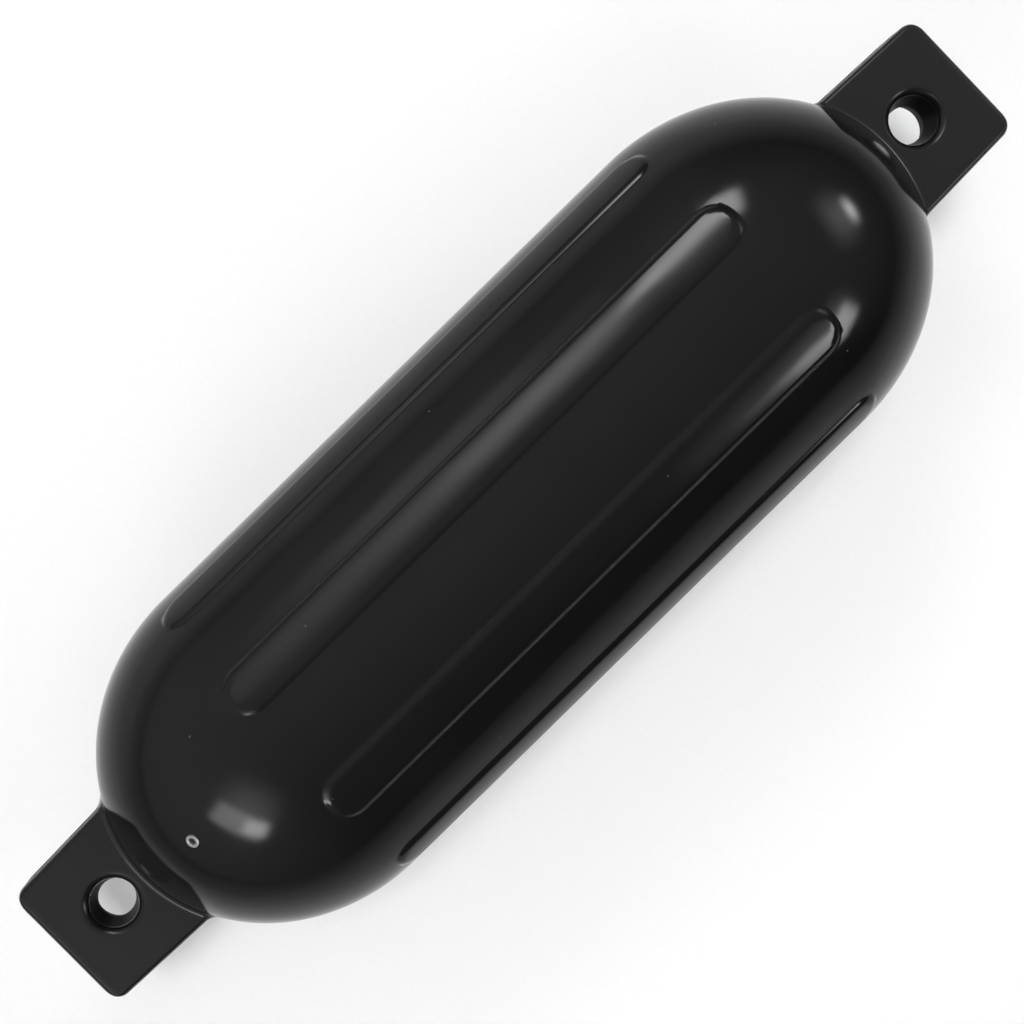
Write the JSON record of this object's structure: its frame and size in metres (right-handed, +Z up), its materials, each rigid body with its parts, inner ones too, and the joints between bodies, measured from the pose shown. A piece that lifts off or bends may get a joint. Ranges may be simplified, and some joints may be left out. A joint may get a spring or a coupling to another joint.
{
  "type": "inflatable boat fender",
  "caption": "Black inflatable vinyl boat fender with a ribbed barrel, domed ends, a flat tab with a rope eye at each end and a small inflation valve.",
  "frame": {"origin": "middle of the narrow flat that the fender lies on, so z = 0 is the floor", "axes": "+X along the fender from the valve end to the far end, +Z up through the faces of the tabs, which lie level"},
  "size_m": [0.5666, 0.165, 0.1647],
  "materials": {
    "black_vinyl": "glossy moulded vinyl, satin on the tabs",
    "valve_metal": "dull bright metal",
    "valve_rubber": "matte"
  },
  "bodies": {
    "root": {"fender_body": "black_vinyl", "valve_ferrule": "valve_metal", "valve_core": "valve_rubber"}
  },
  "joints": []
}
